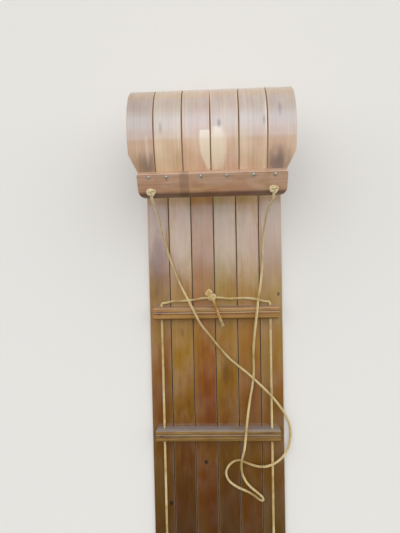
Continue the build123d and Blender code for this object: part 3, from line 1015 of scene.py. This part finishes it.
def screw_tree():
    """Slotted heads set on points, each turned its own way."""
    tree, given = shape_tree("slotted screws", {
        "Head Radius": "Float", "Head Height": "Float", "Slot Width": "Float",
        "Slot Depth": "Float", "Facing": "Vector", "Seed": "Int", "Material": "Material",
    }, with_mesh=True)
    known = dict(given)
    reckon(tree, known, [
        ("flatness", "DIVIDE", "Head Height", "Head Radius"),
        ("slot length", "MULTIPLY", "Head Radius", 3.0),
        ("slot reach", "MULTIPLY", "Slot Depth", 2.0),
    ])
    ball = add(tree, "GeometryNodeMeshUVSphere", {
        "Segments": 24, "Rings": 12, "Radius": given["Head Radius"],
    })
    dome = add(tree, "GeometryNodeTransform", {
        0: ball, "Scale": add(tree, "ShaderNodeCombineXYZ", (1.0, 1.0, known["flatness"])),
    })
    slot = add(tree, "GeometryNodeMeshCube", {
        "Size": add(tree, "ShaderNodeCombineXYZ", (
            known["slot length"], given["Slot Width"], known["slot reach"],
        )),
    })
    slot = add(tree, "GeometryNodeTransform", {
        0: slot, "Translation": add(tree, "ShaderNodeCombineXYZ", {"Z": given["Head Height"]}),
    })
    head = add(tree, "GeometryNodeMeshBoolean", {0: dome, 1: slot},
               operation="DIFFERENCE", solver="EXACT")
    spin = add(tree, "FunctionNodeRandomValue", {
        "Min": 0.0, "Max": pi, "Seed": given["Seed"],
    }, data_type="FLOAT")
    turn = add(tree, "FunctionNodeRotateRotation", (
        add(tree, "FunctionNodeEulerToRotation", (given["Facing"],)),
        add(tree, "FunctionNodeAxisAngleToRotation", {"Axis": (0, 0, 1), "Angle": spin}),
    ), rotation_space="LOCAL")
    heads = add(tree, "GeometryNodeInstanceOnPoints", {
        0: given["Geometry"], "Instance": head, "Rotation": turn,
    })
    finish_tree(tree, heads, given["Material"])
    return tree


def screws():
    """Round-headed screws along the headboard, and flat ones under the deck into the bars."""
    tree = screw_tree()
    on_headboard = [TIP @ Vector((y, SCREW_LINE, HEADBOARD_THICKNESS)) for y in SCREW_PLACES]
    under_deck = []
    for number, middle in enumerate(BAR_MIDDLES):
        for board in range(len(BOARDS)):
            low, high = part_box(f"slat_{board + 1}")
            aside = DECK_SCREW_ASIDE if (board + number) % 2 else -DECK_SCREW_ASIDE
            under_deck.append((middle + aside, (low.y + high.y) / 2, DECK_SCREW_HEIGHT))
    rows = [
        ("headboard_screws", on_headboard, SCREW_HEAD_RADIUS, SCREW_HEAD_HEIGHT,
         tuple(TIP.to_euler()), 4),
        ("deck_screws", under_deck, DECK_SCREW_RADIUS, DECK_SCREW_HEIGHT, (pi, 0, 0), 9),
    ]
    for name, points, radius, height, facing, seed in rows:
        mesh = bpy.data.meshes.new(name)
        mesh.from_pydata([tuple(point) for point in points], [], [])
        place(grown(name, tree, {
            "Head Radius": radius,
            "Head Height": height,
            "Slot Width": SCREW_SLOT_WIDTH,
            "Slot Depth": 0.5 * height,
            "Facing": facing,
            "Seed": seed,
            "Material": STEEL,
        }, mesh))


headboard()
crossbars()
screws()


# The ropes.

# The tow rope's points between its two knots: down onto the deck, over the first crossbar
# and the side rope, round beyond the right edge, into a loop with a tight fold, and back.
TOW_ROPE_POINTS = [
    (0.627, 0.145, 0.233), (0.619, 0.145, 0.200), (0.609, 0.145, 0.157),
    (0.593, 0.147, 0.116), (0.569, 0.148, 0.078), (0.531, 0.143, 0.042),
    (0.487, 0.132, 0.021), (0.443, 0.118, 0.013), (0.401, 0.098, 0.024),
    (0.360, 0.075, 0.0465), (0.297, 0.046, 0.0465), (0.262, 0.021, 0.025),
    (0.224, -0.006, 0.0125), (0.187, -0.037, 0.013), (0.165, -0.065, 0.017),
    (0.146, -0.090, 0.023), (0.117, -0.121, 0.024), (0.094, -0.146, 0.034),
    (0.062, -0.174, 0.034), (0.019, -0.201, 0.021), (-0.024, -0.217, 0.005),
    (-0.062, -0.217, 0.005), (-0.093, -0.203, 0.019), (-0.113, -0.179, 0.034),
    (-0.131, -0.144, 0.034), (-0.138, -0.111, 0.017), (-0.128, -0.081, 0.0125),
    (-0.119, -0.057, 0.0125), (-0.131, -0.034, 0.0125), (-0.157, -0.019, 0.0125),
    (-0.185, -0.028, 0.0125), (-0.204, -0.054, 0.0125), (-0.217, -0.086, 0.0125),
    (-0.229, -0.105, 0.0125), (-0.240, -0.118, 0.0125), (-0.243, -0.127, 0.0155),
    (-0.237, -0.132, 0.021), (-0.227, -0.128, 0.023), (-0.214, -0.113, 0.0225),
    (-0.192, -0.086, 0.021), (-0.167, -0.072, 0.022), (-0.140, -0.066, 0.024),
    (-0.108, -0.070, 0.025), (-0.074, -0.077, 0.0465), (-0.003, -0.084, 0.0465),
    (0.032, -0.091, 0.026), (0.070, -0.098, 0.0125), (0.108, -0.106, 0.013),
    (0.150, -0.110, 0.0125), (0.197, -0.109, 0.013), (0.250, -0.111, 0.024),
    (0.295, -0.115, 0.0465), (0.360, -0.123, 0.0465), (0.403, -0.132, 0.025),
    (0.447, -0.139, 0.0135), (0.490, -0.140, 0.021), (0.534, -0.138, 0.042),
    (0.571, -0.141, 0.079), (0.594, -0.141, 0.117), (0.609, -0.141, 0.157),
    (0.619, -0.143, 0.200), (0.627, -0.145, 0.233),
]
TOW_ROPE_LEAD = 0.013
TOW_KNOT_LENGTH = 0.013
TOW_KNOT_FLAT = 0.006
TOW_KNOT_STUB = 0.004
KNOT_SEAT = 0.0007

# How wide each knot's rope swings, and how thick it is against the other ropes.
TOW_KNOT_SWING = 0.0058
TOW_KNOT_ROPE = 0.9
CENTRE_KNOT_SWING = 0.0064
STOPPER_KNOT_SWING = 0.0052
CENTRE_KNOT_ROPE = 1.2
FRAYED_YARN = 0.28

# The side rope's points ahead of the first crossbar, x measured from that bar's centre.
CENTRE_KNOT_PLACE = (0.043, 0.010, 0.0175)
CENTRE_KNOT_REACH = 0.011
FRONT_TIE_LEFT = [
    (0.043, 0.035, 0.0175), (0.037, 0.064, 0.013),
    (0.034, 0.098, 0.0125), (0.034, 0.131, 0.017),
]
FRONT_TIE_RIGHT = [
    (0.035, -0.131, 0.017), (0.040, -0.098, 0.0125), (0.040, -0.066, 0.0125),
    (0.038, -0.038, 0.013), (0.043, -0.015, 0.0175),
]
KNOT_TAIL_POINTS = [
    (0.040, 0.006, 0.022), (0.034, 0.004, 0.036), (0.022, 0.000, 0.045),
    (-0.009, -0.010, 0.044), (-0.025, -0.015, 0.034), (-0.033, -0.018, 0.018),
]
KNOT_BALL_PLACE = (0.057, 0.019, 0.017)

# The frayed end: each yarn's points are a distance and a share of its length past the end of
# the rope, and a share of the fan's half width out from its middle.
FRAYED_YARN_POINTS = ((-0.004, 0.0, 0.30), (0.0, 0.0, 0.45), (0.0, 0.5, 0.80), (0.0, 1.0, 1.25))
FRAYED_YARNS = 19
FRAYED_LENGTH = 0.011
FRAYED_SPREAD = 0.0046
FRAYED_DROOP = 0.1
GOLDEN_TURN = pi * (3 - sqrt(5))

# The side rope's turns round the outside of the first and the last bar.
FRONT_TIE_STANDOFF = 0.011
TAIL_TIE_STANDOFF = 0.012
SIDE_ROPE_BEND = 0.014


def smooth_line(points):
    """Points along the smooth NURBS line that has these as its control points."""
    curve = bpy.data.curves.new("route", "CURVE")
    curve.dimensions = "3D"
    spline = curve.splines.new("NURBS")
    spline.points.add(len(points) - 1)
    for control, point in zip(spline.points, points):
        control.co = (*point, 1.0)
    spline.order_u = 3
    spline.use_endpoint_u = True
    spline.resolution_u = 12
    holder = new_object("route", curve)
    depsgraph = bpy.context.evaluated_depsgraph_get()
    mesh = bpy.data.meshes.new_from_object(holder.evaluated_get(depsgraph))
    line = [vertex.co.copy() for vertex in mesh.vertices]
    bpy.data.objects.remove(holder)
    bpy.data.curves.remove(curve)
    bpy.data.meshes.remove(mesh)
    return line


def laid_rope_tree():
    """Strands laid round a path: each a tube, with its yarns' coordinates kept."""
    tree, given = shape_tree("laid rope", {
        "Step": "Float", "Lay": "Float", "Strand Radius": "Float", "Strand Offset": "Float",
        "Strands": "Int", "Sides": "Int", "Material": "Material",
    }, with_mesh=True)
    known = dict(given)
    known["travelled"] = add(tree, "GeometryNodeSplineParameter").node.outputs["Length"]
    reckon(tree, known, [
        ("winding", "DIVIDE", "travelled", "Lay"),
        ("tilt", "MULTIPLY", "winding", 2 * pi),
    ])
    path = add(tree, "GeometryNodeMeshToCurve", {0: given["Geometry"]})
    path = add(tree, "GeometryNodeResampleCurve", {0: path, "Length": given["Step"]},
               mode="LENGTH")
    path = add(tree, "GeometryNodeSetCurveTilt", {0: path, "Tilt": known["tilt"]})

    # A strand's point keeps how far along and around it is, and how far from the middle.
    keeps = {}
    for name in ("along", "around", "from middle"):
        keeps[name] = tree.nodes.new("GeometryNodeCaptureAttribute")
        keeps[name].capture_items.new("FLOAT", name)
        known[name] = keeps[name].outputs[1]
    ring = add(tree, "GeometryNodeCurvePrimitiveCircle", {
        "Resolution": given["Sides"], "Radius": given["Strand Radius"],
    })
    around = add(tree, "GeometryNodeSplineParameter")
    seats = add(tree, "GeometryNodeMeshCircle", {
        "Vertices": given["Strands"], "Radius": given["Strand Offset"],
    })
    rings = add(tree, "GeometryNodeInstanceOnPoints", {
        0: seats, "Instance": keeps["around"].outputs[0],
    })
    rings = add(tree, "GeometryNodeRealizeInstances", {0: rings})
    from_middle = add(tree, "ShaderNodeVectorMath", {
        0: add(tree, "GeometryNodeInputPosition"),
    }, operation="LENGTH").node.outputs["Value"]
    for name, shape, value in (
        ("along", path, known["travelled"]),
        ("around", ring, around),
        ("from middle", rings, from_middle),
    ):
        tree.links.new(shape, keeps[name].inputs[0])
        tree.links.new(value, keeps[name].inputs[1])
    strands = add(tree, "GeometryNodeCurveToMesh", {
        0: keeps["along"].outputs[0], 1: keeps["from middle"].outputs[0], "Fill Caps": True,
    })

    # Yarns wind inside a strand, so their pattern turns as it goes along.
    reckon(tree, known, [
        ("turns", "DIVIDE", "along", "Lay"),
        ("unwound", "SUBTRACT", "around", "turns"),
        ("angle", "MULTIPLY", "unwound", 2 * pi),
        ("cosine", "COSINE", "angle"),
        ("sine", "SINE", "angle"),
        ("y", "MULTIPLY", "cosine", "Strand Radius"),
        ("z", "MULTIPLY", "sine", "Strand Radius"),
        ("outermost", "ADD", "Strand Offset", "Strand Radius"),
        ("crown", "DIVIDE", "from middle", "outermost"),
    ])
    lay = add(tree, "ShaderNodeCombineXYZ", (known["along"], known["y"], known["z"]))
    for name, value, kind in (("lay", lay, "FLOAT_VECTOR"), ("crown", known["crown"], "FLOAT")):
        strands = add(tree, "GeometryNodeStoreNamedAttribute", {
            0: strands, "Name": name, "Value": value,
        }, data_type=kind, domain="POINT")
    finish_tree(tree, strands, given["Material"])
    return tree


ROPE_TREE = laid_rope_tree()


def laid_rope(name, lines, size=1.0):
    """Laid rope along each line of points, as one piece, with its thickness scaled."""
    mesh = bpy.data.meshes.new(name)
    points = [tuple(point) for line in lines for point in line]
    links = []
    first = 0
    for line in lines:
        links += [(first + i, first + i + 1) for i in range(len(line) - 1)]
        first += len(line)
    mesh.from_pydata(points, links, [])
    return grown(name, ROPE_TREE, {
        "Step": ROPE_STEP,
        "Lay": ROPE_LAY,
        "Strand Radius": STRAND_RADIUS * size,
        "Strand Offset": STRAND_OFFSET * size,
        "Strands": 3,
        "Sides": 10,
        "Material": ROPE,
    }, mesh)


def knot_place(side, further=0.0):
    """Where the tow rope leaves a knot at the headboard, or a point this far beyond."""
    off = HEADBOARD_OVERHANG - ROPE_HOLE_RISE + TOW_KNOT_FLAT + further
    return TIP @ Vector((side * ROPE_HOLE_Y, off, HEADBOARD_THICKNESS + TOW_KNOT_LENGTH / 2))


def overhand(centre, axis, lead, thickness):
    """Points of a tight overhand knot, flat across its axis; its ends leave towards lead."""
    axis = Vector(axis).normalized()
    lead = Vector(lead)
    lead = (lead - axis * lead.dot(axis)).normalized()
    side = axis.cross(lead)
    middle, swing, rise = 1.02 * thickness, 0.5 * thickness, 0.5 * thickness
    opened, count = 0.32, 40
    points = []
    for i in range(count + 1):
        t = opened + (2 * pi - 2 * opened) * i / count
        reach = middle + swing * cos(3 * t)
        points.append(
            Vector(centre)
            + lead * (reach * cos(2 * t))
            + side * (reach * sin(2 * t))
            + axis * (rise * sin(3 * t))
        )
    return points


def frayed_end(end, heading):
    """Lines for the yarns that have come apart at a rope's end, fanned evenly round it."""
    beside = heading.orthogonal().normalized()
    lines = []
    for number in range(FRAYED_YARNS):
        turn = number * GOLDEN_TURN
        out = beside * cos(turn) + heading.cross(beside) * sin(turn)
        spread = FRAYED_SPREAD * sqrt((number + 0.5) / FRAYED_YARNS)
        reach = FRAYED_LENGTH * (0.75 + 0.25 * sin(5 * turn))
        lines.append(smooth_line([
            end + heading * (start + share * reach) + out * (width * spread)
            for start, share, width in FRAYED_YARN_POINTS
        ]))
    return lines


def tow_rope():
    """The towing line and its two knots at the headboard."""
    outward = TIP.to_3x3() @ UP
    off = TIP.to_3x3() @ LEFT
    outer_heights = (0.004, 0.012, HEADBOARD_THICKNESS + 0.001)
    inner_heights = (0.008, 0.0, -SLAT_THICKNESS - 0.0015)
    for side, name in ((1, "left"), (-1, "right")):
        hole = TIP @ Vector((side * ROPE_HOLE_Y, HEADBOARD_OVERHANG - ROPE_HOLE_RISE, 0))
        over = hole + outward * (HEADBOARD_THICKNESS + TOW_KNOT_SWING + KNOT_SEAT)
        outer = smooth_line(
            [hole + outward * height for height in outer_heights]
            + overhand(over, outward, off, TOW_KNOT_SWING)
            + [knot_place(side), knot_place(side, TOW_KNOT_STUB)]
        )
        under = hole - outward * (SLAT_THICKNESS + TOW_KNOT_SWING + KNOT_SEAT)
        inner = smooth_line(
            [hole + outward * height for height in inner_heights]
            + overhand(under, -outward, off, TOW_KNOT_SWING)
        )
        knot = laid_rope(f"knot_at_headboard_{name}", [outer, inner], TOW_KNOT_ROPE)
        place(knot, "rope", f"tow_knot_{name}")
    line = smooth_line(
        [knot_place(1), knot_place(1, TOW_ROPE_LEAD)]
        + TOW_ROPE_POINTS
        + [knot_place(-1, TOW_ROPE_LEAD), knot_place(-1)]
    )
    rope = place(laid_rope("towing_rope", [line]), "rope", "tow_rope")


def by_first_bar(points):
    """Points that are measured from the first crossbar's centre, as points of the whole."""
    return [(BAR_MIDDLES[0] + x, y, z) for x, y, z in points]


def side_rope():
    """The grab line through the crossbars, its knot, the knot's tail and its balled end."""
    height = SLAT_THICKNESS + SIDE_ROPE_HEIGHT
    front = bar_box(0)[1].x + FRONT_TIE_STANDOFF
    back = bar_box(BAR_COUNT - 1)[0].x - TAIL_TIE_STANDOFF
    knot_x, knot_y, knot_z = CENTRE_KNOT_PLACE
    left = by_first_bar([(knot_x, knot_y + CENTRE_KNOT_REACH, knot_z)] + FRONT_TIE_LEFT)
    right = by_first_bar(FRONT_TIE_RIGHT + [(knot_x, knot_y - CENTRE_KNOT_REACH, knot_z)])
    corners = [
        (front, SIDE_ROPE_Y, height), (back, SIDE_ROPE_Y, height),
        (back, -SIDE_ROPE_Y, height), (front, -SIDE_ROPE_Y, height),
    ]
    turns = []
    for x, y, z in corners:
        inward = -SIDE_ROPE_BEND if x > 0 else SIDE_ROPE_BEND
        beside = -SIDE_ROPE_BEND if y > 0 else SIDE_ROPE_BEND
        pair = [(x, y + beside, z), (x, y, z), (x + inward, y, z)]
        turns.append(pair if (x > 0) == (y > 0) else pair[::-1])
    line = smooth_line(left + [point for turn in turns for point in turn] + right)
    place(laid_rope("grab_rope", [line]), "rope", "side_rope")
    centre, ball = [Vector(p) for p in by_first_bar([CENTRE_KNOT_PLACE, KNOT_BALL_PLACE])]
    tail = by_first_bar(KNOT_TAIL_POINTS)
    body = overhand(centre, (0, 0, 1), (-1, -0.3, 0), CENTRE_KNOT_SWING)
    stopper = overhand(ball, (0.3, 0.3, 1), (-0.6, -0.5, 0), STOPPER_KNOT_SWING)
    lines = [smooth_line(body + tail), smooth_line(stopper)]
    place(laid_rope("knot_of_grab_rope", lines, CENTRE_KNOT_ROPE), "rope", "side_rope_knot")
    heading = Vector(tail[-1]) - Vector(tail[-2])
    heading.z *= FRAYED_DROOP
    frayed = frayed_end(Vector(tail[-1]), heading.normalized())
    place(laid_rope("frayed_rope_end", frayed, FRAYED_YARN), "rope")


tow_rope()
side_rope()


# The stage: floor, light and camera.

CAMERA_PLACE = (0.5051, -0.0139, 1.2883)
CAMERA_TILT = radians(1.88)
CAMERA_YAW = radians(2.6)
CAMERA_ROLL = radians(-1.2)
LENS_PIXELS = 430
FRAME_HEIGHT_PIXELS = 533
SENSOR_HEIGHT = 36

# The floor, with the colour of its shade where it is almost covered, and how open it is there.
FLOOR_COLOUR = "#E2E0DC"
FLOOR_HALF_SIZE = 6.0
FLOOR_DROP = 0.0006
SHADE_BETWEEN_BOARDS = "#543E2A"
COVERED_FROM = 0.40
COVERED_TO = 0.20

# The studio's soft dome, from behind the tail (0) through overhead (0.5) to ahead of the curl
# (1): what lights the surfaces, and the paler, bluer panel that the varnish mirrors.
LIGHT_STRENGTH = 1.6
SOFT_LIGHT = [
    (0.40, (0.14, 0.14, 0.14)),
    (0.52, (1.0, 1.0, 1.0)),
    (0.80, (1.0, 1.0, 1.0)),
    (1.00, (0.7, 0.7, 0.7)),
]
SIDE_GLOW = 0.45
SHEEN_STRENGTH = 4.0
SHEEN_REACH = 0.50
SKY_SHEEN = [
    (0.465, (0.022, 0.018, 0.012)),
    (0.4915, (0.30, 0.40, 0.60)),
    (0.55, (0.34, 0.46, 0.68)),
    (0.62, (0.54, 0.74, 1.02)),
    (0.75, (0.50, 0.72, 1.02)),
    (0.93, (0.14, 0.27, 0.44)),
    (1.00, (0.09, 0.20, 0.34)),
]


def studio():
    """A plain pale floor under a soft sky, brighter towards the curl, and one wide lamp.

    Where the floor is almost covered, as in the gaps between the boards, its own contact
    shadow is deepened.
    """
    body = bmesh.new()
    bmesh.ops.create_grid(body, x_segments=1, y_segments=1, size=FLOOR_HALF_SIZE)
    mesh = bpy.data.meshes.new("floor")
    body.to_mesh(mesh)
    body.free()
    mesh.transform(Matrix.Translation((0, 0, -FLOOR_DROP)))
    material, tree, shader = new_finish("pale_floor", FLOOR_COLOUR, {
        "Roughness": 0.9, "Specular IOR Level": 0.0,
    })
    nearby = add(tree, "ShaderNodeAmbientOcclusion", {"Distance": 0.02}, samples=8)
    known = {"open": nearby.node.outputs["AO"]}
    ranged(tree, known, {"covered": ("open", COVERED_TO, COVERED_FROM, 1.0, 0.0)})
    shown = layered(tree, known, FLOOR_COLOUR, [("MIX", SHADE_BETWEEN_BOARDS, "covered")])
    tree.links.new(shown, shader.inputs["Base Color"])
    mesh.materials.append(material)
    new_object("floor", mesh)

    world = bpy.data.worlds.new("soft sky")
    bpy.context.scene.world = world
    world.use_nodes = True
    tree = world.node_tree
    tree.nodes.clear()
    direction = add(tree, "ShaderNodeSeparateXYZ", (add(tree, "ShaderNodeTexCoord"),))
    forward = add(tree, "ShaderNodeMapRange", (direction, -1.0, 1.0))
    rays = add(tree, "ShaderNodeLightPath").node.outputs
    known = {"sideways": direction.node.outputs["Y"]}
    reckon(tree, known, [("aside", "ABSOLUTE", "sideways")])
    ranged(tree, known, {"panel": ("aside", SHEEN_REACH, 0.6 * SHEEN_REACH, 0.0, 1.0)})
    light, sheen, aside, backdrop = [
        add(tree, "ShaderNodeBackground", {0: shade, "Strength": strength})
        for shade, strength in (
            (ramp(tree, forward, SOFT_LIGHT), LIGHT_STRENGTH),
            (ramp(tree, forward, SKY_SHEEN), SHEEN_STRENGTH),
            (colour("#FFF8EE"), SIDE_GLOW),
            (colour("#F0F0F0"), 1.0),
        )
    ]
    seen = add(tree, "ShaderNodeMixShader", {0: known["panel"], 1: aside, 2: sheen})
    sky = add(tree, "ShaderNodeMixShader", {0: rays["Is Glossy Ray"], 1: light, 2: seen})
    add(tree, "ShaderNodeOutputWorld", {
        0: add(tree, "ShaderNodeMixShader", {0: rays["Is Camera Ray"], 1: sky, 2: backdrop}),
    })

    lamp = bpy.data.lights.new("wide_lamp", "AREA")
    lamp.shape = "DISK"
    lamp.size = 3.0
    lamp.energy = 12
    holder = new_object("wide_lamp", lamp)
    holder.location = (0.2, 0.0, 3.2)
    holder.visible_glossy = False


def camera():
    """The camera at the photo's viewing angle, above the curl and looking at the deck.

    The picture is taller than it is wide, so Blender's sensor width lies along its height.
    """
    eye = bpy.data.cameras.new("camera")
    eye.sensor_width = SENSOR_HEIGHT
    eye.lens = SENSOR_HEIGHT * LENS_PIXELS / FRAME_HEIGHT_PIXELS
    looking_down = Matrix(((0, -1, 0), (-1, 0, 0), (0, 0, -1)))
    aim = (
        Matrix.Rotation(CAMERA_ROLL, 3, "Z")
        @ Matrix.Rotation(CAMERA_TILT, 3, "X")
        @ Matrix.Rotation(CAMERA_YAW, 3, "Y")
        @ looking_down
    )
    picture_to_blender = Matrix(((1, 0, 0), (0, -1, 0), (0, 0, -1)))
    holder = new_object("camera", eye)
    facing = (aim.transposed() @ picture_to_blender).to_4x4()
    holder.matrix_world = Matrix.Translation(CAMERA_PLACE) @ facing
    bpy.context.scene.camera = holder


studio()
camera()
bpy.context.scene.view_settings.view_transform = "Standard"
